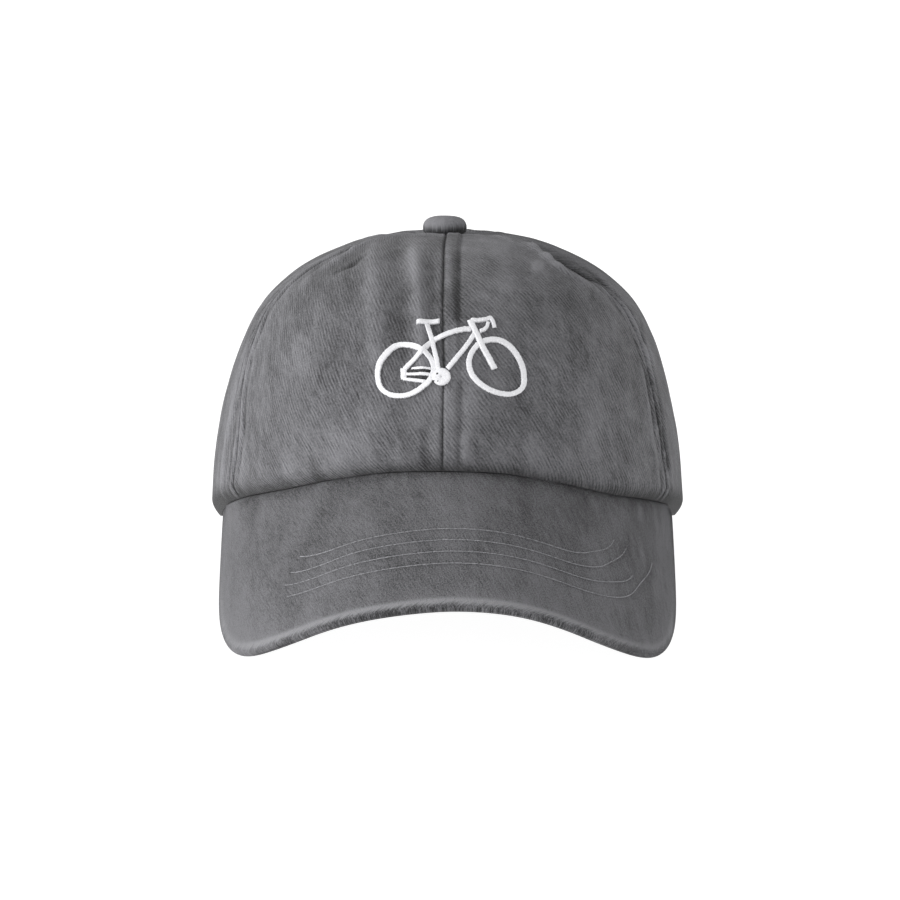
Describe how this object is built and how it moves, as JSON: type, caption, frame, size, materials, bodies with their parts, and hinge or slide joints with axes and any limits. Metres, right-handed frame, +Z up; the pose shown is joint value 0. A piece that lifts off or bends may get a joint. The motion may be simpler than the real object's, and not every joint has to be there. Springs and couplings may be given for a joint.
{
  "type": "cycling cap",
  "caption": "Soft cotton-twill sports cap with a rounded gored crown, long curved peak, covered top button, raised bicycle on the front and an adjustable strap across the back opening.",
  "frame": {"origin": "bottom centre of the cap's box, on the surface that it rests on", "axes": "-Y out over the peak, +Y to the back opening, +Z up out of the top button; the cap leans back as it rests"},
  "size_m": [0.1724, 0.271, 0.1257],
  "materials": {
    "crown_cloth": "washed twill",
    "peak_cloth": "washed twill, worn pale along the edge",
    "button_cloth": "washed twill",
    "embroidery_thread": "satin stitch",
    "strap_cloth": "washed twill",
    "clasp_metal": "brushed"
  },
  "bodies": {
    "root": {"crown_panel_front_left": "crown_cloth", "crown_panel_front_right": "crown_cloth", "crown_panel_side_right": "crown_cloth", "crown_panel_back_right": "crown_cloth", "crown_panel_back_left": "crown_cloth", "crown_panel_side_left": "crown_cloth", "peak": "peak_cloth", "top_button": "button_cloth", "bicycle_embroidery": "embroidery_thread", "back_strap": "strap_cloth", "strap_clasp": "clasp_metal"}
  },
  "joints": []
}
